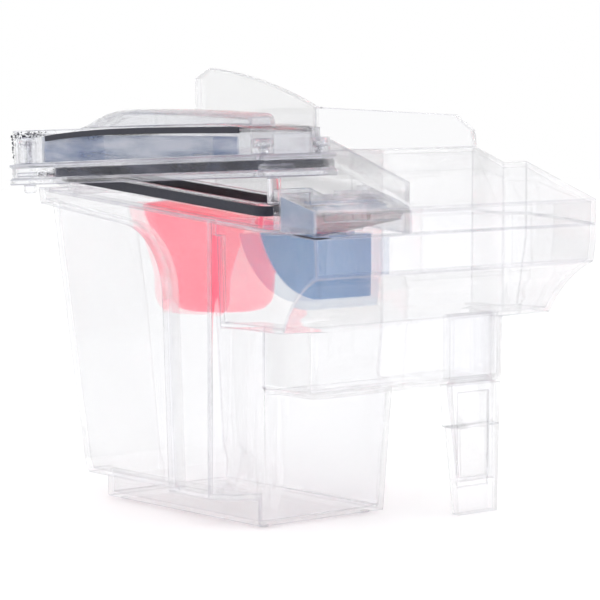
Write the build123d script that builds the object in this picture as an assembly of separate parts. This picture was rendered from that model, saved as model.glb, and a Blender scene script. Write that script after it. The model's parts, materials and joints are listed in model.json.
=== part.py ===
from build123d import *
from math import atan, cos, degrees, radians, sin, sqrt
import os

# Clear hang-on-back filter. X runs from the outside of the aquarium across its rim,
# Y runs along the glass from the outlet end to the hinge end, Z is up. Millimetres.
# Working origin: the outer front corner of the foot. Everything moves at the end so that
# the origin is the bottom centre of the whole part.

WALL = 2.2

# Foot and deep chamber
FOOT_X = 82.2
FOOT_Y = 130.0
FOOT_Z = 1.2
LEDGE_Z = 15.0
SIDE_X = -20.0
RIGHT_X = 91.5
POST_Y = 17.5
CURVE_X = 12.5
PANEL_X = -12.0

# Shelf over the aquarium rim
SHELF_Z = 68.0
SHELF_X0 = 2.5
SHELF_X1 = 134.5
SHELF_X2 = 154.0
SHELF_Y = -36.5
STEP_Y = -11.5

# Outlet tray
TRAY_Z = 102.0
TRAY_FRONT = -63.2
TRAY_BACK = 12.0
TRAY_X0 = -19.5
TRAY_X1 = 173.5
TRAY_X2 = 156.5
COVE_TOP = 130.0

# Rim plane, rising towards the hinge
RIM_Z = 149.5
RIM_SLOPE = 0.0743
BACK_Y = 164.0
BACK_LEAN = 0.204

# Deck
DECK_X = 42.0
DECK_LIP = 162.5
DECK_KNEE_Z = 181.0
DECK_Z = 188.0
DECK_FLAT_Y = 8.0
DECK_BACK = 150.0
DECK_WALL = 2.0
GLAND_X = 66.0
GLAND_Z = 176.5

# Intake leg
LEG_X0 = 97.6
LEG_X1 = 133.4
LEG_Y0 = -34.5
LEG_Y1 = -24.5

# Lid, measured in its own closed frame from the hinge axis
HINGE_Y = 171.0
HINGE_Z = 172.5
LID_DROP = 5.2
LID_X0 = -20.0
LID_X1 = 30.0
LID_FRONT = -198.0
LID_REAR = 24.0
LID_FRAME = 11.2
RING_GAP = 8.4
SHELL_Z0 = LID_FRAME - LID_DROP
SHELL_X0 = -18.5
SHELL_X1 = 26.0
OPEN_AT_REST = 7.2
PIN_R = 1.5

# Latch block and the slot of the flow slider
BLOCK_X0 = -19.5
BLOCK_X1 = 41.8
BLOCK_BACK = -32.0
SLOT_X0 = -13.0
SLOT_X1 = 36.0
SLOT_Z = 157.5

# Hatch collar, the pegs that enter its plate, and the lid's screw bosses
COLLAR_X0 = -13.6
COLLAR_X1 = 23.6
COLLAR_Y0 = -16.0
COLLAR_Y1 = 147.0
COLLAR_H = 11.5
GASKET_H = 5.0
PEG_X = -11.5
PEG_Y = -194.0
PEG_R = 3.5
BOSS_R = 5.6
GASKET_T = 3.0
GASKET_W = 1.1
GRIP_X0 = -10.0
GRIP_X1 = 6.0
BOSSES = [(-14.2, -190.0), (-14.2, 9.0), (21.7, -190.0), (21.7, 9.0)]
BOSS_TOP = {-190.0: 14.0, 9.0: 20.6}

# Media cup
CUP_X = 28.5
CUP_Y = 66.5
CUP_WALL = 2.0

# Pump
PUMP_X0 = 10.0
PUMP_X1 = 47.0
PUMP_Y = -30.0
PUMP_Z = 163.0
PUMP_R = 46.0
PUMP_TOP = 148.0
ROTOR_Y = -13.0
ROTOR_Z = 135.0


def rim(y):
    return RIM_Z + RIM_SLOPE * (y - TRAY_FRONT)


def along_x(outline, x0, x1):
    """Solid from a closed outline of (y, z) points."""
    return extrude(Plane.YZ.offset(x0) * Polygon(*outline, align=None), x1 - x0, dir=(1, 0, 0))


def along_y(outline, y0, y1):
    """Solid from a closed outline of (x, z) points."""
    return extrude(Plane.XZ.offset(-y1) * Polygon(*outline, align=None), y1 - y0, dir=(0, -1, 0))


def along_z(outline, z0, z1):
    """Solid from a closed outline of (x, y) points."""
    return extrude(Plane.XY.offset(z0) * Polygon(*outline, align=None), z1 - z0, dir=(0, 0, 1))


def block(x0, x1, y0, y1, z0, z1):
    return Pos((x0 + x1) / 2, (y0 + y1) / 2, (z0 + z1) / 2) * Box(x1 - x0, y1 - y0, z1 - z0)


def rounded_block(x0, x1, y0, y1, z0, z1, r):
    """Block with its upright edges rounded."""
    plan = RectangleRounded(x1 - x0, y1 - y0, r)
    return extrude(Pos((x0 + x1) / 2, (y0 + y1) / 2, z0) * plan, z1 - z0)


def post(x, y, z0, z1, r):
    return Pos(x, y, (z0 + z1) / 2) * Cylinder(r, z1 - z0)


def barrel(x0, x1, y, z, r):
    """Cylinder lying along X."""
    return Pos((x0 + x1) / 2, y, z) * Rot(0, 90, 0) * Cylinder(r, x1 - x0)


# ---------------------------------------------------------------- tank
def chamber(inset, rise):
    """Deep chamber and foot, drawn inwards by the inset, its top raised by the rise."""
    g = inset
    side = along_x(
        [
            (g, FOOT_Z + g),
            (FOOT_Y - g, FOOT_Z + g),
            (FOOT_Y - g, 12 + g / 2),
            (134.5 - g, 22),
            (BACK_Y - g + BACK_LEAN * rise, rim(BACK_Y) + rise),
            (g, rim(0) + rise),
        ],
        SIDE_X - 1,
        RIGHT_X + 1,
    )
    front = along_y(
        [
            (g, FOOT_Z + g),
            (FOOT_X - g, FOOT_Z + g),
            (RIGHT_X - g, 100),
            (RIGHT_X - g, 200),
            (SIDE_X + g, 200),
            (SIDE_X + g, LEDGE_Z + g),
            (g, LEDGE_Z + g),
        ],
        -1,
        BACK_Y + 20,
    )
    corner_r = ((CURVE_X - SIDE_X) ** 2 + POST_Y**2) / (2 * POST_Y)
    r = corner_r - g
    reach = CURVE_X - SIDE_X - g
    edge_y = corner_r - sqrt(r**2 - reach**2)
    half = (CURVE_X - SIDE_X - g) / 2
    corner = make_face(
        [
            ThreePointArc(
                (SIDE_X + g, edge_y),
                (SIDE_X + g + half, corner_r - sqrt(r**2 - half**2)),
                (CURVE_X, g),
            ),
            Line((CURVE_X, g), (RIGHT_X + 5, g)),
            Line((RIGHT_X + 5, g), (RIGHT_X + 5, BACK_Y + 10)),
            Line((RIGHT_X + 5, BACK_Y + 10), (SIDE_X + g, BACK_Y + 10)),
            Line((SIDE_X + g, BACK_Y + 10), (SIDE_X + g, edge_y)),
        ]
    )
    plan = extrude(corner, 220, dir=(0, 0, 1))
    # Recessed side panel, its edge rising straight and then sweeping back under the rim
    sweep = make_face(
        [
            Line((50 - g, 0), (55.5 - g, 113)),
            ThreePointArc((55.5 - g, 113), (65 - 0.7 * g, 138 + 0.7 * g), (90, 150 + g)),
            Line((90, 150 + g), (190, 160.5 + g)),
            Line((190, 160.5 + g), (190, 0)),
            Line((190, 0), (50 - g, 0)),
        ]
    )
    recess = extrude(Plane.YZ.offset(SIDE_X - 5) * sweep, PANEL_X + g - SIDE_X + 5, dir=(1, 0, 0))
    return (side & front & plan) - recess


def shelf(inset):
    g = inset
    body = along_z(
        [
            (SHELF_X0 + g, SHELF_Y + g),
            (SHELF_X1 - g, SHELF_Y + g),
            (SHELF_X1 - g, STEP_Y + g),
            (SHELF_X2 - g, STEP_Y + g),
            (SHELF_X2 - g, TRAY_BACK - g),
            (SHELF_X0 + g, TRAY_BACK - g),
        ],
        SHELF_Z + g,
        TRAY_Z + 2 * g + 1,
    )
    body = fillet(body.edges().filter_by(Axis.Z), 5 - g)
    return fillet(body.edges().group_by(Axis.Z)[0], 4.5 - g)


def tray(inset, rise):
    g = inset
    outline = [
        Line((TRAY_BACK - g, TRAY_Z + g), (SHELF_Y + g / 2, TRAY_Z + g)),
        ThreePointArc(
            (SHELF_Y + g / 2, TRAY_Z + g),
            (-46.5 + g, 118),
            (TRAY_FRONT + g, COVE_TOP + g / 2),
        ),
        Line((TRAY_FRONT + g, COVE_TOP + g / 2), (TRAY_FRONT + g, rim(TRAY_FRONT) + rise)),
        Line((TRAY_FRONT + g, rim(TRAY_FRONT) + rise), (TRAY_BACK - g, rim(TRAY_BACK) + rise)),
        Line((TRAY_BACK - g, rim(TRAY_BACK) + rise), (TRAY_BACK - g, TRAY_Z + g)),
    ]
    side = extrude(Plane.YZ.offset(-30) * make_face(outline), 220, dir=(1, 0, 0))
    front = along_y(
        [
            (-17.0 + g, TRAY_Z - 1),
            (166.5 - g, TRAY_Z - 1),
            (TRAY_X1 - g, 141),
            (TRAY_X1 - g, 180),
            (TRAY_X0 + g, 180),
            (TRAY_X0 + g, 148),
        ],
        -80,
        20,
    )
    corner = block(TRAY_X2 - g, 200, STEP_Y - g, 40, 90, 190)
    return (side & front) - corner


def tank():
    outer = chamber(0, 0) + shelf(0) + tray(0, 0)
    inner = chamber(WALL, 12) + shelf(WALL) + tray(WALL, 12)
    # The tray opens straight into the chamber
    opening = block(-14.5, RIGHT_X - WALL, SHELF_Y + 2, 20, TRAY_Z + WALL + 0.3, 149)
    opening += block(TRAY_X0 + WALL, RIGHT_X - WALL, SHELF_Y + 2, 20, 148, 175)
    inlet = block(LEG_X0 + 4, LEG_X1 - 4, LEG_Y0 + 2.5, LEG_Y1 - 2.5, SHELF_Z - 2, SHELF_Z + 4)
    return outer - inner - opening - inlet


def foot_pads():
    pads = [
        Pos(x, y, 0) * extrude(Circle(2.6), FOOT_Z)
        for x in (7, FOOT_X - 7)
        for y in (7, FOOT_Y - 7)
    ]
    return Compound(pads)


# ---------------------------------------------------------------- intake
def leg():
    """Flat hollow leg: a duct with a recessed front window, a solid tip and a rear inlet."""

    def section(x0, x1, y0, y1, z, r):
        plan = RectangleRounded(x1 - x0, y1 - y0, r)
        return Pos((x0 + x1) / 2, (y0 + y1) / 2, z) * plan

    upper = loft(
        [
            section(97.8, 133.0, LEG_Y0, -26.0, 46, 1.6),
            section(LEG_X0, LEG_X1, LEG_Y0, LEG_Y1, SHELF_Z, 1.6),
        ]
    )
    lower = loft(
        [
            section(104.0, 132.4, LEG_Y0 + 0.8, -27.5, 0, 1.6),
            section(99.6, 132.8, LEG_Y0, -26.0, 46.2, 1.6),
        ]
    )
    duct = loft(
        [
            section(106.5, 130.2, LEG_Y0 + 2.9, -29.0, 17, 0.6),
            section(100.5, 130.6, LEG_Y0 + 2.4, LEG_Y1 - 2, 68.5, 0.6),
        ]
    )
    window = along_z([(102.2, -40), (124.0, -40), (124.0, LEG_Y0 + 1.1), (102.2, LEG_Y0 + 1.1)], 15, 64)
    inlet = block(108.5, 128.5, -30.0, -24, 19, 44)
    return upper + lower - duct - window - inlet


def riser():
    """Rectangular duct standing on the shelf floor above the leg."""
    z0 = SHELF_Z + WALL
    outer = rounded_block(100.0, 129.8, -31.8, -24.2, z0, 104, 1.5)
    inner = rounded_block(101.4, 128.4, -30.4, -25.6, z0 - 1, 105, 1.0)
    return outer - inner


# ---------------------------------------------------------------- deck
def deck_volume(inset, drop):
    g = inset
    side = along_x(
        [
            (TRAY_FRONT + g, rim(TRAY_FRONT) - drop),
            (TRAY_FRONT + g, DECK_LIP - 0.5 * g),
            (TRAY_FRONT + g + 2, DECK_LIP + 0.7 - g),
            (STEP_Y, DECK_KNEE_Z - g),
            (DECK_FLAT_Y, DECK_Z - g),
            (DECK_BACK - g, DECK_Z - g),
            (DECK_BACK - g, rim(DECK_BACK) - drop),
        ],
        0,
        200,
    )
    plan = along_z(
        [
            (DECK_X + g, -80),
            (TRAY_X1 - g, -80),
            (TRAY_X1 - g, STEP_Y - g),
            (TRAY_X2 - g, STEP_Y - g),
            (TRAY_X2 - g, TRAY_BACK - g),
            (RIGHT_X - g, TRAY_BACK - g),
            (RIGHT_X - g, 200),
            (DECK_X + g, 200),
        ],
        100,
        220,
    )
    return side & plan


def deck():
    cover = deck_volume(0, 0) - deck_volume(DECK_WALL, 5)
    profile = [(-60, 163), (-60, 175), (-3, 194), (DECK_FLAT_Y, 194), (DECK_FLAT_Y, 187)]
    ridge = along_x(profile, DECK_X, DECK_X + 2.6)
    inside = deck_volume(DECK_WALL, 5)
    gland_hole = Pos(GLAND_X, DECK_BACK, GLAND_Z) * Rot(90, 0, 0) * Cylinder(5.0, 10)
    return cover + (ridge - inside) - gland_hole


def splash_wall():
    """Upright L of clear plate on the flat of the deck."""
    profile = [(46, DECK_Z), (46, 210.3), (141.5, 205.5), (155, 197), (156, DECK_Z)]
    across = along_y(profile, DECK_FLAT_Y, TRAY_BACK)
    crest = make_face(
        [
            Line((DECK_FLAT_Y, DECK_Z), (DECK_FLAT_Y, 210)),
            ThreePointArc((DECK_FLAT_Y, 210), (50, 223), (94.5, 230)),
            Line((94.5, 230), (106.5, 224.5)),
            Line((106.5, 224.5), (106.5, DECK_Z)),
            Line((106.5, DECK_Z), (DECK_FLAT_Y, DECK_Z)),
        ]
    )
    back = extrude(Plane.YZ.offset(DECK_X) * crest, 4, dir=(1, 0, 0))
    return across + back


# ---------------------------------------------------------------- latch and slider
def latch_housing():
    def volume(g, drop):
        return along_x(
            [
                (TRAY_FRONT + g, rim(TRAY_FRONT) - drop),
                (TRAY_FRONT + g, DECK_LIP - g / 2),
                (TRAY_FRONT + g + 6, DECK_LIP + 3 - g),
                (BLOCK_BACK - g, 172.5 - g),
                (BLOCK_BACK - g, rim(BLOCK_BACK) - drop),
            ],
            BLOCK_X0 + g,
            BLOCK_X1 - g,
        )

    shell = volume(0, 0) - volume(2, 5)
    # Well for the latch, open at the top and towards the lid
    well = block(4, 34, -52, BLOCK_BACK + 1, 165, 180)
    well_box = block(2.4, 35.6, -53.6, BLOCK_BACK, 163.4, 176) & volume(0, 0)
    slot = block(SLOT_X0, SLOT_X1, TRAY_FRONT - 1, TRAY_FRONT + 4, SLOT_Z, SLOT_Z + 3.2)
    return shell + well_box - well - slot


def latch_slide():
    """Sliding catch: a flat plate with a finger rib and a nose that reaches for the lid."""
    plate = block(8, 30, -50, -35.5, 165.1, 166.9)
    rib = along_x([(-45, 166.5), (-44, 171.0), (-41.5, 171.0), (-40, 166.5)], 11, 27)
    tip = [(-36.5, 165.1), (-36.5, 169.0), (-32.6, 169.0), (-31.2, 167.0), (-31.2, 165.1)]
    nose = along_x(tip, 12, 26)
    return plate + rib + nose


def latch_rails():
    """Two guide rails over the edges of the catch plate."""
    left = [(4, 165), (4, 168.6), (9.5, 168.6), (9.5, 167.1), (7.7, 167.1), (7.7, 165)]
    right = [(38 - x, z) for x, z in left]
    return Compound([along_y(left, -51, -37), along_y(right, -51, -37)])


def flow_slider():
    """Bar in the front slot with a thumb rib and a shutter behind."""
    y = TRAY_FRONT
    bar = block(SLOT_X0 + 0.2, SLOT_X0 + 28, y - 0.8, y + 2.6, SLOT_Z + 0.15, SLOT_Z + 3.05)
    keeper = block(SLOT_X0 - 1.5, SLOT_X0 + 26, y + 2.15, y + 3.6, SLOT_Z - 1.4, SLOT_Z + 3.7)
    thumb = rounded_block(SLOT_X0 + 10, SLOT_X0 + 16, y - 2.4, y - 0.6, SLOT_Z + 0.4, SLOT_Z + 2.8, 0.7)
    return bar + keeper + thumb


# ---------------------------------------------------------------- hatch collar
def tilt():
    """Turns a solid drawn level about the hinge axis into the plane of the rim."""
    return Pos(0, HINGE_Y, HINGE_Z) * Rot(degrees(atan(RIM_SLOPE)), 0, 0)


def hatch_collar():
    level = -LID_DROP - 0.4
    y0 = COLLAR_Y0 - HINGE_Y
    y1 = COLLAR_Y1 - HINGE_Y
    front = BLOCK_BACK - HINGE_Y + 0.3
    rear = BACK_Y - HINGE_Y - 4.2
    plate = rounded_block(TRAY_X0 + WALL + 0.1, DECK_X - 0.2, front, rear, level - 2.2, level, 3)
    ring = rounded_block(COLLAR_X0, COLLAR_X1, y0, y1, level - 0.5, level + COLLAR_H, 4)
    wall = 2.4
    hole = rounded_block(COLLAR_X0 + wall, COLLAR_X1 - wall, y0 + wall, y1 - wall, level - 9, level + 20, 2)
    peg_hole = post(PEG_X, PEG_Y, level - 6, level + 2, PEG_R + 1.3)
    return tilt() * (plate + ring - hole - peg_hole)


def collar_gasket():
    level = -LID_DROP - 0.4
    y0 = COLLAR_Y0 - HINGE_Y
    y1 = COLLAR_Y1 - HINGE_Y
    top = level + 10.0
    t = 1.2
    outer = rounded_block(COLLAR_X0 - t, COLLAR_X1 + t, y0 - t, y1 + t, top - GASKET_H, top, 4 + t)
    inner = rounded_block(COLLAR_X0, COLLAR_X1, y0, y1, level + 3, level + 11, 4)
    return tilt() * (outer - inner)


def below_plate(body):
    """Trims a solid to the underside of the collar plate."""
    level = -LID_DROP - 0.4 - 2.2
    return body - tilt() * block(-60, 140, -260, 60, level, level + 60)


# ---------------------------------------------------------------- media cup
def media_cup():
    """Round open cup: a flared collar over a straight waist and a rounded floor."""
    outer = [
        Line((0, 104.5), (16, 104.5)),
        ThreePointArc((16, 104.5), (24, 107), (27, 113)),
        Line((27, 113), (27.6, 123)),
        Spline((27.6, 123), (31.0, 133), (35.0, 142), (38.5, 150), (41.6, 160)),
        Line((41.6, 160), (41.6, 172)),
        Line((41.6, 172), (0, 172)),
        Line((0, 172), (0, 104.5)),
    ]
    w = CUP_WALL
    inner = [
        Line((0, 104.5 + w), (16, 104.5 + w)),
        ThreePointArc((16, 104.5 + w), (22.6, 108.6), (27 - w, 113.6)),
        Line((27 - w, 113.6), (27.6 - w, 123.4)),
        Spline((27.6 - w, 123.4), (31.0 - w, 134), (35.0 - w, 143), (38.5 - w, 151), (41.6 - w, 161)),
        Line((41.6 - w, 161), (41.6 - w, 190)),
        Line((41.6 - w, 190), (0, 190)),
        Line((0, 190), (0, 104.5 + w)),
    ]
    bowl = revolve(Plane.XZ * make_face(outer), Axis.Z) - revolve(Plane.XZ * make_face(inner), Axis.Z)
    bowl = Pos(CUP_X, CUP_Y, 0) * bowl
    return below_plate(bowl)


# ---------------------------------------------------------------- pump
def quarter(radius, x0, x1, y, z, top):
    """Quarter drum along X with a flat front and a flat top."""
    reach = sqrt(radius**2 - (z - top) ** 2)
    face = make_face(
        [
            Line((y, z - radius), (y, top)),
            Line((y, top), (y + reach, top)),
            ThreePointArc(
                (y + reach, top),
                (y + radius * sin(radians(40)), z - radius * cos(radians(40))),
                (y, z - radius),
            ),
        ]
    )
    return extrude(Plane.YZ.offset(x0) * face, x1 - x0, dir=(1, 0, 0))


def pump_housing():
    outer = quarter(PUMP_R, PUMP_X0, PUMP_X1, PUMP_Y, PUMP_Z, PUMP_TOP)
    outer = fillet(outer.edges().filter_by(Axis.Z), 2.0)
    cavity = barrel(PUMP_X0 + 2, PUMP_X1 - 2, ROTOR_Y, ROTOR_Z, 10.5)
    inlet = barrel(PUMP_X1 - 3, PUMP_X1 + 1, ROTOR_Y, ROTOR_Z, 5.5)
    outlet = block(PUMP_X1 - 12, PUMP_X1 - 4, ROTOR_Y - 4, ROTOR_Y + 4, ROTOR_Z, PUMP_TOP + 1)
    return outer - cavity - inlet - outlet


def motor_can():
    """Sealed stator sleeve round the magnet."""
    sleeve = barrel(PUMP_X0 + 2, PUMP_X0 + 20, ROTOR_Y, ROTOR_Z, 10.5)
    bore = barrel(PUMP_X0 + 4, PUMP_X0 + 21, ROTOR_Y, ROTOR_Z, 7.0)
    shaft_seat = barrel(PUMP_X0 + 1, PUMP_X0 + 5, ROTOR_Y, ROTOR_Z, 1.0)
    return sleeve - bore - shaft_seat


def rotor_shaft():
    return barrel(PUMP_X0 + 2.2, PUMP_X1 - 2.6, ROTOR_Y, ROTOR_Z, 1.0)


def shaft_bearing():
    """Three-armed bearing that holds the inlet end of the shaft."""
    hub = barrel(PUMP_X1 - 4.2, PUMP_X1 - 2, ROTOR_Y, ROTOR_Z, 2.2)
    arms = [
        Pos(0, ROTOR_Y, ROTOR_Z)
        * Rot(120 * i, 0, 0)
        * block(PUMP_X1 - 4.2, PUMP_X1 - 2, -0.7, 0.7, 1.5, 10.4)
        for i in range(3)
    ]
    seat = barrel(PUMP_X1 - 5, PUMP_X1 - 1, ROTOR_Y, ROTOR_Z, 1.0)
    bearing = hub
    for arm in arms:
        bearing += arm
    return bearing - seat


def rotor_magnet():
    body = barrel(PUMP_X0 + 4.8, PUMP_X0 + 20, ROTOR_Y, ROTOR_Z, 6.4)
    return body - barrel(PUMP_X0, PUMP_X0 + 40, ROTOR_Y, ROTOR_Z, 1.05)


def impeller():
    x0 = PUMP_X0 + 20
    hub = barrel(x0, x0 + 7, ROTOR_Y, ROTOR_Z, 3.2)
    disc = barrel(x0 + 0.6, x0 + 2.2, ROTOR_Y, ROTOR_Z, 9.4)
    body = hub + disc
    for i in range(6):
        blade = block(x0 + 2, x0 + 7, -0.6, 0.6, 2.6, 9.4)
        body += Pos(0, ROTOR_Y, ROTOR_Z) * Rot(60 * i, 0, 0) * blade
    return body - barrel(x0 - 1, x0 + 9, ROTOR_Y, ROTOR_Z, 1.05)


def pump_hanger():
    """Pair of straps that hang the pump from the latch housing."""
    straps = [
        below_plate(block(x, x + 6, PUMP_Y + 1, PUMP_Y + 12, PUMP_TOP, PUMP_TOP + 8))
        for x in (PUMP_X0 + 3, PUMP_X0 + 20)
    ]
    return Compound(straps)


def power_gland():
    """Gland in the rear wall of the deck for the pump lead."""
    turn = Pos(GLAND_X, DECK_BACK, GLAND_Z) * Rot(-90, 0, 0)
    nut = turn * extrude(RegularPolygon(7, 6), 4.5)
    neck = turn * Pos(0, 0, -2) * Cylinder(4.95, 12)
    return nut + neck - turn * Cylinder(3.0, 40)


# ---------------------------------------------------------------- lid
def lid_ring(step, z0, z1, radius):
    """Solid block with the outline of the frame's opening, set in by a step."""
    front = LID_FRONT + RING_GAP
    x0 = LID_X0 + 3.4 + step
    x1 = LID_X1 - 3.4 - step
    return rounded_block(x0, x1, front + step, -16.5 - step, z0, z1, radius)


def lid_frame():
    z0 = -LID_DROP
    step = 1.2
    body = rounded_block(LID_X0, LID_X1, LID_FRONT, LID_REAR, z0, z0 + 3.2, 6)
    waist = (LID_X0 + step, LID_X1 - step, LID_FRONT + step, LID_REAR - step)
    body += rounded_block(*waist, z0, SHELL_Z0 - 1.6, 5)
    body += rounded_block(LID_X0, LID_X1, LID_FRONT, LID_REAR, SHELL_Z0 - 1.6, SHELL_Z0, 6)
    body -= lid_ring(0, z0 - 1, SHELL_Z0 + 1, 3)
    # Notch that takes the fixed hinge knuckle
    body -= block(-4, 14, -12, LID_REAR + 1, z0 - 1, SHELL_Z0 - 1.4)
    body -= barrel(-9, 19, 0, 0, PIN_R + 0.05)
    return body


def lid_seal():
    """Dark seal let into the inner face of the frame."""
    return lid_ring(0, -1.6, 3.6, 3) - lid_ring(0.8, -2, 5.5, 2.2)


def shell_top(drop):
    """Side line of the shell's top, high at the rear and low at the front, lowered by drop."""
    points = [(24, 24.4), (-17, 24.0), (-70, 23.4), (-130, 22.3), (-174, 20.4), (-194, 17.4)]
    return [(y, z - drop) for y, z in points]


def shell_volume(step):
    """The shell's outer volume, set in by a step on every side but the lower one."""
    crest = shell_top(step)
    low = SHELL_Z0 - (1.0 if step else 0.0)
    outline = [
        Spline(crest),
        Line(crest[-1], (crest[-1][0], low)),
        Line((crest[-1][0], low), (crest[0][0], low)),
        Line((crest[0][0], low), crest[0]),
    ]
    x0 = SHELL_X0 + step
    x1 = SHELL_X1 - step
    side = extrude(Plane.YZ.offset(x0) * make_face(outline), x1 - x0, dir=(1, 0, 0))
    plan = rounded_block(x0, x1, LID_FRONT + 6 + step, LID_REAR - 2 - step, low, 40, 6 - step)
    return side & plan


def lid_shell():
    body = shell_volume(0) - shell_volume(WALL)
    for x, y in BOSSES:
        body -= post(x, y, SHELL_Z0 - 1, 40, BOSS_R)
    return body


def screw_bosses():
    bosses = []
    for x, y in BOSSES:
        top = BOSS_TOP[y]
        sleeve = post(x, y, SHELL_Z0, top, BOSS_R - 0.02)
        sleeve -= post(x, y, SHELL_Z0 - 1, top + 1, 1.75)
        sleeve -= post(x, y, top - 4.4, top + 1, 3.6)
        bosses.append(sleeve)
    return Compound(bosses)


def lid_screws():
    """Self-tapping pan-head screws, cross recess, shank in the boss."""
    screws = []
    for x, y in BOSSES:
        head_z = BOSS_TOP[y] - 4.4
        screw = post(x, y, SHELL_Z0 + 0.4, head_z + 0.1, 1.7)
        head = post(x, y, head_z, head_z + 2.2, 3.1)
        head = fillet(head.edges().group_by(Axis.Z)[-1], 0.9)
        cross = block(x - 1.7, x + 1.7, y - 0.35, y + 0.35, head_z + 1.2, head_z + 3)
        cross += block(x - 0.35, x + 0.35, y - 1.7, y + 1.7, head_z + 1.2, head_z + 3)
        screws.append(screw + head - cross)
    return Compound(screws)


def lid_pegs():
    """Locating pegs under the frame, the front one long and the rear one short."""
    pegs = []
    for x, y, length in ((PEG_X, PEG_Y, 13.0), (-14.2, 9.0, 4.6), (21.7, 9.0, 4.6)):
        peg = post(x, y, -LID_DROP - length, -LID_DROP, PEG_R)
        pegs.append(fillet(peg.edges().group_by(Axis.Z)[0], 1.2))
    return Compound(pegs)


def grip_volume(step):
    """Domed grip that swells out of the shell's top and ends in a steep front, set in by a step."""
    nose = -177.0 + step
    crest = [
        (-24 - 2 * step, 23.0),
        (-37 - 2 * step, 26.0 - step),
        (-56, 31.0 - step),
        (-85, 32.0 - step),
        (-140, 29.4 - step),
        (nose + 1.5, 26.6 - step),
    ]
    outline = [
        Spline(crest),
        Line(crest[-1], (nose, 14)),
        Line((nose, 14), (crest[0][0], 14)),
        Line((crest[0][0], 14), crest[0]),
    ]
    x0 = GRIP_X0 + step
    return extrude(Plane.YZ.offset(x0) * make_face(outline), GRIP_X1 - step - x0, dir=(1, 0, 0))


def lid_top():
    """Hollow domed grip that stands on the top of the shell."""
    dome = grip_volume(0)
    crown = dome.edges().filter_by(lambda e: e.length > 60 and e.center().Z > 24)
    dome = fillet(crown, 4.0)
    return dome - grip_volume(1.8) - shell_volume(0)


def lid_gasket():
    """Black strip along the outside of each flank, just under the edge of the shell."""
    top = [(-14, 20.7), (-40, 22.0), (-80, 22.4), (-130, 21.4), (-178, 19.8)]
    bottom = [(y, z - GASKET_T) for y, z in top]
    outline = make_face(
        [
            Spline(top),
            Line(top[-1], bottom[-1]),
            Spline(bottom[::-1]),
            Line(bottom[0], top[0]),
        ]
    )
    strips = [
        extrude(Plane.YZ.offset(x0) * outline, GASKET_W, dir=(1, 0, 0))
        for x0 in (SHELL_X0 - GASKET_W, SHELL_X1)
    ]
    return Compound(strips)


def hinge_pin():
    return tilt() * barrel(-9, 19, 0, 0, PIN_R)


def hinge_bracket():
    """Knuckle behind the tank on a foot that stands on the rear of the collar plate."""
    level = -LID_DROP - 0.4
    knuckle = barrel(-3.7, 13.7, 0, 0, 4.0)
    foot = block(-3.7, 13.7, -11.5, -3.0, level + 0.03, -2.0)
    neck = block(-3.7, 13.7, -9, 0, -3.9, 0)
    body = knuckle + foot + neck - barrel(-10, 20, 0, 0, PIN_R)
    return tilt() * body


# ---------------------------------------------------------------- assembly
lid_place = tilt() * Rot(-OPEN_AT_REST, 0, 0)

fixed = {
    "tank": tank(),
    "foot_pads": foot_pads(),
    "intake_leg": leg(),
    "intake_riser": riser(),
    "deck_cover": deck(),
    "splash_wall": splash_wall(),
    "latch_housing": latch_housing(),
    "latch_rails": latch_rails(),
    "hatch_collar": hatch_collar(),
    "collar_gasket": collar_gasket(),
    "media_cup": media_cup(),
    "pump_housing": pump_housing(),
    "pump_hanger": pump_hanger(),
    "motor_can": motor_can(),
    "rotor_shaft": rotor_shaft(),
    "shaft_bearing": shaft_bearing(),
    "power_gland": power_gland(),
    "hinge_bracket": hinge_bracket(),
    "hinge_pin": hinge_pin(),
}
lid = {
    "lid_frame": lid_frame(),
    "lid_seal": lid_seal(),
    "lid_shell": lid_shell(),
    "lid_top": lid_top(),
    "lid_gasket": lid_gasket(),
    "screw_bosses": screw_bosses(),
    "lid_screws": lid_screws(),
    "lid_pegs": lid_pegs(),
}
moving = {
    "latch_slide": latch_slide(),
    "flow_slider": flow_slider(),
    "rotor_magnet": rotor_magnet(),
    "impeller": impeller(),
}

placed = dict(fixed)
placed.update({name: lid_place * solid for name, solid in lid.items()})
placed.update(moving)

box = Compound(list(placed.values())).bounding_box()
home = Pos(-box.center().X, -box.center().Y, -box.min.Z)

os.makedirs("parts", exist_ok=True)
for name, solid in placed.items():
    export_step(home * solid, f"parts/{name}.step")
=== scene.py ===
import json
import math
import random

import bmesh
import bpy
from mathutils import Matrix, Vector, noise as vnoise


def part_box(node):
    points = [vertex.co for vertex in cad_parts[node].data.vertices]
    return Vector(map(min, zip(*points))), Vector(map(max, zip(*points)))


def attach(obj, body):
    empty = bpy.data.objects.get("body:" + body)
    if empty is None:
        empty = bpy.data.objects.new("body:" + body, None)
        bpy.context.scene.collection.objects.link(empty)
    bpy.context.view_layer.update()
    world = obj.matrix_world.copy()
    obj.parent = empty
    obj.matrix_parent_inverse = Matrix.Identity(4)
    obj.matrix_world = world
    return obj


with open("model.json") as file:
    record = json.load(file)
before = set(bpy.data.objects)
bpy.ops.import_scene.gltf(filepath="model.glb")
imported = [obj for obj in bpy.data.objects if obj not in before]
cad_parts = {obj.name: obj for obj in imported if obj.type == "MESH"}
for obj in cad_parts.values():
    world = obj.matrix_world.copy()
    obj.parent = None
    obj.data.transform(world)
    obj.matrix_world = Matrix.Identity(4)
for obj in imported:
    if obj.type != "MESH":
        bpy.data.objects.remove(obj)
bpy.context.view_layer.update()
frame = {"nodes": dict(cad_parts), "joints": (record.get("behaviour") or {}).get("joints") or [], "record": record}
NODES = frame["nodes"]
SCENE = bpy.context.scene
MM = 0.001

# ---------------------------------------------------------------- camera
# The foot's outer front corner on the floor. The pads are set in from it.
PAD_INSET = 0.0044
PADS_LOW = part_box("foot_pads")[0]
CORNER = Vector((PADS_LOW.x - PAD_INSET, PADS_LOW.y - PAD_INSET, 0.0))
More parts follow.
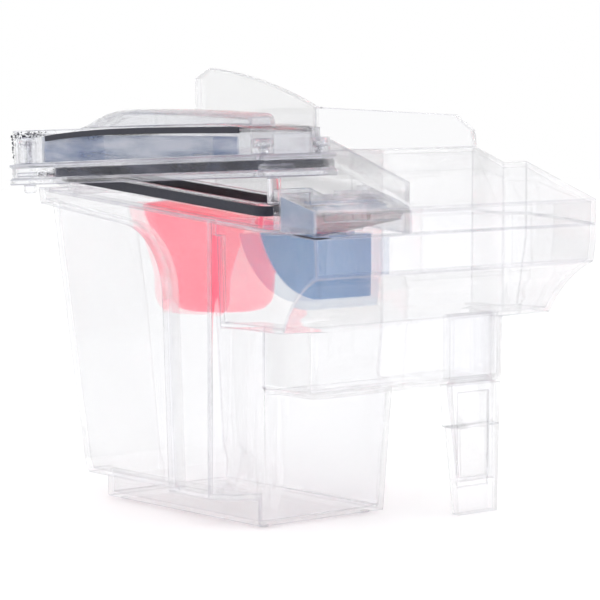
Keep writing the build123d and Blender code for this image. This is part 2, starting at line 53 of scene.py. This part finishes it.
# The camera's place from that corner, in metres, and its axes.
CAMERA_FROM_CORNER = Vector((-0.8394, -1.0148, 0.2316))
CAMERA_RIGHT = Vector((0.76128, -0.64842, 0.0))
CAMERA_DOWN = Vector((-0.05697, -0.06689, -0.99613))
CAMERA_FORWARD = Vector((0.64591, 0.75834, -0.08787))
SENSOR_WIDTH = 36.0
FOCAL_LENGTH = 159.85
CLIP_NEAR, CLIP_FAR = 0.05, 20.0

CAMERA_AXES = Matrix((CAMERA_RIGHT, -CAMERA_DOWN, -CAMERA_FORWARD)).transposed().to_4x4()
camera = bpy.data.objects.new("camera", bpy.data.cameras.new("camera"))
camera.data.sensor_width = SENSOR_WIDTH
camera.data.lens = FOCAL_LENGTH
camera.data.clip_start = CLIP_NEAR
camera.data.clip_end = CLIP_FAR
camera.matrix_world = Matrix.Translation(CORNER + CAMERA_FROM_CORNER) @ CAMERA_AXES
SCENE.collection.objects.link(camera)
SCENE.camera = camera


# ---------------------------------------------------------------- material nodes
def new_material(name):
    """A material with one Principled shader, with its node tree and that shader."""
    material = bpy.data.materials.new(name)
    material.use_nodes = True
    tree = material.node_tree
    tree.nodes.clear()
    output = tree.nodes.new("ShaderNodeOutputMaterial")
    shader = tree.nodes.new("ShaderNodeBsdfPrincipled")
    tree.links.new(shader.outputs[0], output.inputs["Surface"])
    return material, tree, shader


def set_values(node, values):
    for socket, value in values.items():
        node.inputs[socket].default_value = value


def noise(tree, scale, detail=3.0, rough=0.5, stretch=None):
    """Noise in the object's own space, which stretch makes finer along each axis."""
    source = tree.nodes.new("ShaderNodeTexCoord").outputs["Object"]
    if stretch:
        mapping = tree.nodes.new("ShaderNodeMapping")
        set_values(mapping, {"Scale": stretch})
        tree.links.new(source, mapping.inputs["Vector"])
        source = mapping.outputs["Vector"]
    texture = tree.nodes.new("ShaderNodeTexNoise")
    set_values(texture, {"Scale": scale, "Detail": detail, "Roughness": rough})
    tree.links.new(source, texture.inputs["Vector"])
    return texture.outputs["Fac"]


def ramp(tree, source, low, high, start=0.35, end=0.65):
    """A noise value between start and end, spread over the range from low to high."""
    spread = tree.nodes.new("ShaderNodeMapRange")
    set_values(spread, {"From Min": start, "From Max": end, "To Min": low, "To Max": high})
    tree.links.new(source, spread.inputs["Value"])
    return spread.outputs["Result"]


def vary_colour(tree, shader, factor, first, second):
    mix = tree.nodes.new("ShaderNodeMix")
    mix.data_type = "RGBA"
    set_values(mix, {"A": (*first, 1), "B": (*second, 1)})
    tree.links.new(factor, mix.inputs["Factor"])
    tree.links.new(mix.outputs["Result"], shader.inputs["Base Color"])


def vary_roughness(tree, shader, source, low, high):
    tree.links.new(ramp(tree, source, low, high), shader.inputs["Roughness"])


def bump(tree, shader, height, strength, distance):
    relief = tree.nodes.new("ShaderNodeBump")
    set_values(relief, {"Strength": strength, "Distance": distance})
    tree.links.new(height, relief.inputs["Height"])
    tree.links.new(relief.outputs["Normal"], shader.inputs["Normal"])


# ---------------------------------------------------------------- materials
def clear_wall(name, tint, ior, opacity, ripple):
    """Thin moulded styrene: clear, glossy, with a slight flow ripple and faint wipe marks."""
    material, tree, shader = new_material(name)
    flow = noise(tree, scale=34.0, detail=2.0)
    wipe = noise(tree, scale=160.0, detail=4.0, rough=0.6)
    set_values(shader, {"Base Color": (*tint, 1), "Transmission Weight": 1.0})
    set_values(shader, {"IOR": ior, "Alpha": opacity})
    vary_roughness(tree, shader, wipe, low=0.0, high=0.05)
    bump(tree, shader, flow, strength=ripple, distance=0.0006)
    return material


def painted_shade_edge(name, shade, core, cover):
    """The rounded corners of the moulding, coloured a soft grey line: painted shade for the darkening refraction
    gives at clear edges.
    """
    material, tree, shader = new_material(name)
    run = noise(tree, scale=26.0, detail=2.0)
    fine = noise(tree, scale=240.0, detail=3.0, rough=0.6)
    vary_colour(tree, shader, ramp(tree, run, low=0.0, high=1.0), shade, core)
    set_values(shader, {"Transmission Weight": 0.35, "IOR": 1.5, "Alpha": cover})
    vary_roughness(tree, shader, fine, low=0.04, high=0.14)
    bump(tree, shader, fine, strength=0.05, distance=0.0003)
    return material


def rubber(name, base, lift):
    """Matt black rubber with a fine grain and slightly paler clouds."""
    material, tree, shader = new_material(name)
    grain = noise(tree, scale=900.0, detail=4.0, rough=0.6)
    cloud = noise(tree, scale=60.0, detail=2.0)
    vary_colour(tree, shader, cloud, base, lift)
    vary_roughness(tree, shader, grain, low=0.38, high=0.55)
    bump(tree, shader, grain, strength=0.15, distance=0.0002)
    return material


def coloured_plastic(name, base, deep, roughness, glow, light=0.0, painted_glow_colour=(1, 1, 1)):
    """Injection-moulded coloured plastic with faint flow lines, translucent by its glow; its light is emission, a
    painted glow.
    """
    material, tree, shader = new_material(name)
    flow = noise(tree, scale=22.0, detail=3.0)
    fine = noise(tree, scale=420.0, detail=3.0, rough=0.6)
    vary_colour(tree, shader, ramp(tree, flow, low=0.0, high=1.0), base, deep)
    set_values(shader, {"Subsurface Weight": glow, "Subsurface Radius": (1.0, 0.6, 0.6)})
    set_values(shader, {"Subsurface Scale": 0.004})
    # Emission here is a painted glow: the plastic is no lamp.
    set_values(shader, {"Emission Color": (*painted_glow_colour, 1), "Emission Strength": light})
    vary_roughness(tree, shader, fine, low=roughness, high=roughness + 0.08)
    bump(tree, shader, fine, strength=0.06, distance=0.0002)
    return material


def steel(name):
    """Plain screw steel with fine tool marks."""
    material, tree, shader = new_material(name)
    fine = noise(tree, scale=800.0, detail=4.0, rough=0.6)
    set_values(shader, {"Base Color": (0.62, 0.62, 0.64, 1), "Metallic": 1.0})
    vary_roughness(tree, shader, fine, low=0.18, high=0.34)
    bump(tree, shader, fine, strength=0.1, distance=0.0001)
    return material


def tinted_film(name, shade, core, cover, stretch):
    """Translucent film whose depth of colour changes along its length."""
    material, tree, shader = new_material(name)
    bands = noise(tree, scale=1.0, stretch=stretch)
    fine = noise(tree, scale=300.0, detail=3.0, rough=0.6)
    depth = ramp(tree, bands, low=0.0, high=1.0, start=0.38, end=0.62)
    vary_colour(tree, shader, depth, shade, core)
    set_values(shader, {"Alpha": cover})
    vary_roughness(tree, shader, fine, low=0.15, high=0.3)
    bump(tree, shader, fine, strength=0.04, distance=0.0002)
    return material


CLEAR = clear_wall("clear_moulding", tint=(0.9, 0.9, 0.925), ior=1.4, opacity=0.36, ripple=0.06)
# The edge materials' shade colours are painted shade for the darkening refraction gives at clear edges.
CLEAR_PAINTED_SHADE_EDGE = painted_shade_edge(
    "clear_moulding_painted_shade_edge", shade=(0.42, 0.42, 0.5), core=(0.72, 0.7, 0.78), cover=0.36
)
LID_CLEAR = clear_wall("clear_lid", tint=(0.91, 0.92, 0.96), ior=1.49, opacity=0.5, ripple=0.08)
# The lid's darker edge shade is painted shade too.
LID_PAINTED_SHADE_EDGE = painted_shade_edge("clear_lid_painted_shade_edge", shade=(0.16, 0.19, 0.3), core=(0.7, 0.68, 0.76), cover=0.42)
# The flank and latch block films colour sheets of painted shade inside those clear walls.
FLANK_PAINTED_SHADE = tinted_film(
    "lid_flank_painted_shade_film", shade=(0.08, 0.15, 0.33), core=(0.5, 0.55, 0.68), cover=0.62, stretch=(8, 22, 120)
)
SEAL_TINT = tinted_film(
    "lid_seal_slate", shade=(0.012, 0.016, 0.045), core=(0.2, 0.21, 0.29), cover=0.8, stretch=(8, 26, 60)
)
BLOCK_PAINTED_SHADE = tinted_film(
    "latch_block_painted_shade_film", shade=(0.2, 0.27, 0.42), core=(0.42, 0.5, 0.64), cover=0.6, stretch=(20, 30, 60)
)
# Black rubber for the gaskets; the same black also paints the shadow bead and the dark refraction specks.
BLACK_RUBBER_AND_SHADE = rubber("black_gasket_and_painted_shade", base=(0.006, 0.007, 0.018), lift=(0.012, 0.013, 0.028))
# The red cup's light is a painted glow that brightens it behind the clear walls.
RED = coloured_plastic(
    "red_cup",
    base=(1.0, 0.11, 0.19),
    deep=(1.0, 0.2, 0.27),
    roughness=0.25,
    glow=0.35,
    light=0.3,
    painted_glow_colour=(1.0, 0.12, 0.2),
)
BLUE = coloured_plastic(
    "blue_housing", base=(0.05, 0.16, 0.4), deep=(0.11, 0.26, 0.52), roughness=0.25, glow=0.15
)
DARK = coloured_plastic(
    "dark_plastic", base=(0.02, 0.022, 0.03), deep=(0.03, 0.032, 0.04), roughness=0.35, glow=0.0
)
WHITE = coloured_plastic(
    "white_plastic", base=(0.7, 0.72, 0.74), deep=(0.64, 0.66, 0.7), roughness=0.35, glow=0.1
)
STEEL = steel("screw_steel")

# ---------------------------------------------------------------- finish of the CAD nodes
# A clear node has two materials: the second one is for its softened edges, coloured grey as painted shade.
EDGE_MATERIAL = 1
FINISH_BY_SLOT = {
    "clear_plastic": (CLEAR, CLEAR_PAINTED_SHADE_EDGE),
    "black_rubber": (BLACK_RUBBER_AND_SHADE,),
    "red_plastic": (RED,),
    "blue_plastic": (BLUE,),
    "dark_plastic": (DARK,),
    "white_plastic": (WHITE,),
    "steel": (STEEL,),
}
FINISH_BY_NODE = {
    "lid_frame": (LID_CLEAR, LID_PAINTED_SHADE_EDGE),
    "lid_shell": (LID_CLEAR, LID_PAINTED_SHADE_EDGE),
    "lid_top": (LID_CLEAR, LID_PAINTED_SHADE_EDGE),
    "screw_bosses": (LID_CLEAR, LID_PAINTED_SHADE_EDGE),
    "lid_pegs": (LID_CLEAR, LID_PAINTED_SHADE_EDGE),
    "lid_seal": (SEAL_TINT,),
}
for subpart in frame["record"]["subparts"]:
    name = subpart["node"]
    NODES[name].data.materials.clear()
    for material in FINISH_BY_NODE.get(name, FINISH_BY_SLOT[subpart["material_slot"]]):
        NODES[name].data.materials.append(material)

# ---------------------------------------------------------------- softened edges
WELD_DISTANCE = 1e-6
FLAT_WITHIN = math.radians(0.6)
SHARP_FROM = math.radians(30)
CLEAR_RADIUS = 0.0007
SOLID_RADIUS = 0.0004
RADIUS_BY_NODE = {"lid_shell": 0.0004, "splash_wall": 0.0005, "intake_leg": 0.0005, "tank": 0.0008}
# Nodes whose short edges would otherwise clamp the bevel of all the others to nothing.
FREE_EDGES = {
    "tank",
    "deck_cover",
    "intake_riser",
    "lid_frame",
    "latch_housing",
    "lid_shell",
    "intake_leg",
    "splash_wall",
    "lid_top",
    "hatch_collar",
}


def round_edges(obj, radius, segments=2):
    """A bevel on the sharp edges, in the edge material where the object has one."""
    bevel = obj.modifiers.new("edge_radius", "BEVEL")
    bevel.width = radius
    bevel.segments = segments
    bevel.limit_method = "ANGLE"
    bevel.angle_limit = SHARP_FROM
    if len(obj.data.materials) > 1:
        bevel.material = EDGE_MATERIAL
    return bevel


def soften(name):
    """Joins a node's triangles into whole faces, because its edges can be rounded only then."""
    node = NODES[name]
    weld = node.modifiers.new("weld", "WELD")
    weld.merge_threshold = WELD_DISTANCE
    flat = node.modifiers.new("flat_faces", "DECIMATE")
    flat.decimate_type = "DISSOLVE"
    flat.angle_limit = FLAT_WITHIN
    usual_radius = CLEAR_RADIUS if len(node.data.materials) > 1 else SOLID_RADIUS
    bevel = round_edges(node, RADIUS_BY_NODE.get(name, usual_radius))
    bevel.harden_normals = True
    bevel.use_clamp_overlap = name not in FREE_EDGES


for name in NODES:
    soften(name)

# ---------------------------------------------------------------- places of the fine pieces
# The rim rises towards the back, and at rest the lid stands open from it.
HINGE = next(joint for joint in frame["joints"] if joint["name"] == "lid_hinge")
RIM_SLOPE = 0.0743
LID_TILT = math.atan(RIM_SLOPE) + math.radians(HINGE["range_deg"][0])
LID_ORIGIN = Vector(HINGE["pos_m"]) - Vector((0.005, 0, 0))
# The left flank of the lid's shell, and the top edge of that flank, in the lid's frame.
SHELL_X = -18.5
SHELL_BACK_Y = 24
SHELL_BACK_TOP = 24.2
SHELL_FALL = 0.012
SHELL_CROWN = 0.000085


def lid_at(x, y, z):
    """A point given in millimetres in the lid's frame, as metres in the scene."""
    turn = Matrix.Rotation(LID_TILT, 3, "X")
    return LID_ORIGIN + turn @ Vector((x * MM, y * MM, z * MM))


def body_at(x, y, z):
    """A point given in millimetres from the foot's outer front corner, as metres in the scene."""
    return CORNER + Vector((x * MM, y * MM, z * MM))


def shell_height(y):
    """Height of the shell's side at a place along the lid."""
    ahead = SHELL_BACK_Y - y
    return SHELL_BACK_TOP - SHELL_FALL * ahead - SHELL_CROWN * ahead ** 2


def steps(first, last, count):
    return [first + (last - first) * i / count for i in range(count + 1)]


def smooth_mesh(name, bm):
    """The mesh of a finished bmesh, with smooth shading."""
    mesh = bpy.data.meshes.new(name)
    bm.to_mesh(mesh)
    bm.free()
    for face in mesh.polygons:
        face.use_smooth = True
    return mesh


def add_piece(name, data, materials, body):
    obj = bpy.data.objects.new(name, data)
    SCENE.collection.objects.link(obj)
    for material in materials:
        obj.data.materials.append(material)
    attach(obj, body)
    return obj


# ---------------------------------------------------------------- tinted sheets of painted shade
SHADE_SHEET_THICKNESS = 0.6 * MM
SHADE_SHEET_EDGE = 0.3
# A tinted sheet stands inside the lid's left flank, with a slight wave along it; its bands of colour are painted
# shade for that side of the clear lid.
FLANK_Y = (-174, -8)
FLANK_INSET = 2.6
FLANK_WAVE = 0.25
FLANK_WAVE_REACH = 23
FLANK_FOOT = 6.6
FLANK_BELOW_TOP = 3.2
# A tinted sheet of painted shade stands inside the latch block's left wall, under the sloping top.
BLOCK_Y = (-60.5, -35.5)
BLOCK_SHADE_SHEET_X = -17.2
BLOCK_FRONT_Y = -63
BLOCK_FOOT = 151.5
BLOCK_TOP_FRONT = 161.5
BLOCK_TOP_SLOPE = 0.26


def flank_shade_point(y, share):
    """A point of the painted shade sheet in the lid, at a share of its height."""
    x = SHELL_X + FLANK_INSET + FLANK_WAVE * math.sin(y / FLANK_WAVE_REACH)
    top = shell_height(y) - FLANK_BELOW_TOP
    return lid_at(x, y, FLANK_FOOT + share * (top - FLANK_FOOT))


def block_shade_point(y, share):
    """A point of the painted shade sheet in the latch block, at a share of its height."""
    top = BLOCK_TOP_FRONT + BLOCK_TOP_SLOPE * (y - BLOCK_FRONT_Y)
    return body_at(BLOCK_SHADE_SHEET_X, y, BLOCK_FOOT + share * (top - BLOCK_FOOT))


def sheet_piece(name, place, along, up, material, body):
    """A thin plate over a grid of points, with rounded edges."""
    bm = bmesh.new()
    grid = [[bm.verts.new(place(y, share)) for y in along] for share in up]
    for low, high in zip(grid, grid[1:]):
        for i in range(len(along) - 1):
            bm.faces.new((low[i], low[i + 1], high[i + 1], high[i]))
    obj = add_piece(name, smooth_mesh(name, bm), [material], body)
    solid = obj.modifiers.new("thickness", "SOLIDIFY")
    solid.thickness = SHADE_SHEET_THICKNESS
    solid.offset = 0.0
    round_edges(obj, SHADE_SHEET_THICKNESS * SHADE_SHEET_EDGE)


# Both sheets are painted shade inside clear walls.
sheet_piece("lid_flank_painted_shade_sheet", flank_shade_point, steps(*FLANK_Y, 40), steps(0, 1, 6), FLANK_PAINTED_SHADE, "hatch_lid")
sheet_piece("latch_block_painted_shade_sheet", block_shade_point, steps(*BLOCK_Y, 12), steps(0, 1, 5), BLOCK_PAINTED_SHADE, "filter")

# ---------------------------------------------------------------- painted shadow and painted dark refractions
BEAD_RADIUS = 0.0005
BEAD_RING = 3
# The bead thins out towards its ends and swells and shrinks along its length.
BEAD_END = 0.3
BEAD_GROWTH = 3.0
BEAD_SWELL = 0.2
BEAD_GRAIN = 400
# It paints the shadow along the latch block's foot: down its left wall, then across its front.
SHADOW_Z = 149.7
SHADOW_LEFT_X = -19.3
SHADOW_LEFT_Y = (-47, -62)
SHADOW_CORNER_Y = -63.2
SHADOW_FRONT_X = (-18.6, -10)
SHADOW_FRONT_Y = -63.0


def bead_line(name, points, material, body):
    """A thin bead along a line, uneven like a laid bead; in black it paints a dark line of shadow."""
    curve = bpy.data.curves.new(name, "CURVE")
    curve.dimensions = "3D"
    curve.bevel_depth = BEAD_RADIUS
    curve.bevel_resolution = BEAD_RING
    curve.use_fill_caps = True
    spline = curve.splines.new("POLY")
    spline.points.add(len(points) - 1)
    for i, (target, point) in enumerate(zip(spline.points, points)):
        target.co = (*point, 1)
        from_end = min(i, len(points) - 1 - i)
        fade = min(1.0, BEAD_END + BEAD_GROWTH * from_end / len(points))
        target.radius = fade * (1.0 + BEAD_SWELL * vnoise.noise(Vector(point) * BEAD_GRAIN))
    add_piece(name, curve, [material], body)


shadow_line = [
    body_at(SHADOW_LEFT_X, y, SHADOW_Z + RIM_SLOPE * (y - SHADOW_CORNER_Y)) for y in steps(*SHADOW_LEFT_Y, 12)
]
shadow_line += [body_at(x, SHADOW_FRONT_Y, SHADOW_Z) for x in steps(*SHADOW_FRONT_X, 8)]
# The black bead is painted shadow at the latch block's foot.
bead_line("latch_block_painted_shadow", shadow_line, BLACK_RUBBER_AND_SHADE, "filter")

# Black specks paint the dark refractions along the top of the shell's back end and down its back edge.
SPECK_SEED = 7
SPECK_RADIUS = (0.25, 0.75)
SPECK_SHIFT = 0.6
SPECK_SWELL = 0.35
SPECK_GRAIN = 2500
SPECK_FLAT = 0.5
SPECK_LONG = 1.3
SPECK_X = SHELL_X + 1.2
TOP_SPECKS_Y = (-12, 19)
TOP_SPECKS_Z = 21.6
TOP_SPECKS_WAVE = 1.3
TOP_SPECKS_WAVES = 1.9
BACK_SPECKS_Y = 19.5
BACK_SPECKS_WAVE = 0.5
BACK_SPECKS_Z = (10.5, 21)


def specks(name, places, material, body):
    """Small flattened black specks under the clear edge: painted dark refractions."""
    bm = bmesh.new()
    rng = random.Random(SPECK_SEED)
    for place in places:
        radius = rng.uniform(*SPECK_RADIUS) * MM
        shift_y = rng.uniform(-SPECK_SHIFT, SPECK_SHIFT) * MM
        shift_z = rng.uniform(-SPECK_SHIFT, SPECK_SHIFT) * MM
        shift = Vector((0, shift_y, shift_z))
        made = bmesh.ops.create_icosphere(bm, subdivisions=2, radius=radius)
        for v in made["verts"]:
            swell = 1.0 + SPECK_SWELL * vnoise.noise((v.co + place) * SPECK_GRAIN)
            speck_shape = Vector((v.co.x * SPECK_FLAT, v.co.y * swell * SPECK_LONG, v.co.z * swell))
            v.co = speck_shape + place + shift
    add_piece(name, smooth_mesh(name, bm), [material], body)


refraction_specks = [
    lid_at(SPECK_X, y, TOP_SPECKS_Z + TOP_SPECKS_WAVE * math.sin(y * TOP_SPECKS_WAVES))
    for y in steps(*TOP_SPECKS_Y, 44)
]
refraction_specks += [
    lid_at(SPECK_X, BACK_SPECKS_Y + BACK_SPECKS_WAVE * math.sin(z), z) for z in steps(*BACK_SPECKS_Z, 12)
]
# The specks are painted dark refractions.
specks("lid_painted_refraction_specks", refraction_specks, BLACK_RUBBER_AND_SHADE, "hatch_lid")

# ---------------------------------------------------------------- pads under the screw bosses
PAD_SIDES = 32
PAD_EDGE = 0.8 * MM
PAD_EDGE_SEGMENTS = 3


def boss_pad(name, centre, reach, radius, bottom, top):
    """A clear pad with round ends, longer by its reach each way, under a screw boss."""
    bm = bmesh.new()
    outline = []
    for i in range(PAD_SIDES):
        angle = (i + 0.5) * math.tau / PAD_SIDES
        x = centre[0] + math.copysign(reach[0], math.cos(angle)) + radius * math.cos(angle)
        y = centre[1] + math.copysign(reach[1], math.sin(angle)) + radius * math.sin(angle)
        outline.append((x, y))
    low = [bm.verts.new(lid_at(x, y, bottom)) for x, y in outline]
    high = [bm.verts.new(lid_at(x, y, top)) for x, y in outline]
    bm.faces.new(low[::-1])
    bm.faces.new(high)
    for i in range(PAD_SIDES):
        k = (i + 1) % PAD_SIDES
        bm.faces.new((low[i], low[k], high[k], high[i]))
    bmesh.ops.recalc_face_normals(bm, faces=bm.faces)
    mesh = smooth_mesh(name, bm)
    obj = add_piece(name, mesh, [LID_CLEAR, LID_PAINTED_SHADE_EDGE], "hatch_lid")
    round_edges(obj, PAD_EDGE, PAD_EDGE_SEGMENTS)


boss_pad("boss_pad_front", centre=(-9.4, -193.8), reach=(6.4, 0.0), radius=3.6, bottom=-1.8, top=1.4)
boss_pad("boss_pad_rear", centre=(-14.2, 8.0), reach=(0.0, 3.5), radius=5.3, bottom=-1.0, top=1.6)

# ---------------------------------------------------------------- floor and light
FLOOR_SIZE = 6.0
FLOOR_DROP = 0.0002
FLOOR_LIGHT = 0.17
LIGHT_TARGET = Vector((0, 0, 0.1))
LIGHT_SIZE = 0.6
MAX_BOUNCES = 32
MAX_CLEAR_BOUNCES = 64

bpy.ops.mesh.primitive_plane_add(size=FLOOR_SIZE, location=(0, 0, -FLOOR_DROP))
floor = bpy.context.object
floor.name = "floor"
floor_white, _, shader = new_material("floor_white")
set_values(shader, {"Base Color": (0.9, 0.9, 0.905, 1), "Roughness": 0.9})
set_values(shader, {"Emission Color": (1, 1, 1, 1), "Emission Strength": FLOOR_LIGHT})
floor.data.materials.append(floor_white)

world = bpy.data.worlds.new("studio")
world.use_nodes = True
set_values(world.node_tree.nodes["Background"], {"Color": (1, 1, 1, 1), "Strength": 1.0})
SCENE.world = world


def area_light(name, place, power):
    """A square soft light that shines at the object."""
    light = bpy.data.objects.new(name, bpy.data.lights.new(name, "AREA"))
    light.data.shape = "RECTANGLE"
    light.data.size = LIGHT_SIZE
    light.data.size_y = LIGHT_SIZE
    light.data.energy = power
    light.location = place
    light.rotation_mode = "QUATERNION"
    light.rotation_quaternion = (LIGHT_TARGET - Vector(place)).to_track_quat("-Z", "Y")
    SCENE.collection.objects.link(light)


area_light("key", place=(-0.7, -0.5, 1.0), power=2.0)
area_light("fill", place=(0.9, -0.6, 0.6), power=1.0)
SCENE.view_settings.view_transform = "Standard"
SCENE.cycles.max_bounces = MAX_BOUNCES
SCENE.cycles.transmission_bounces = MAX_BOUNCES
SCENE.cycles.transparent_max_bounces = MAX_CLEAR_BOUNCES
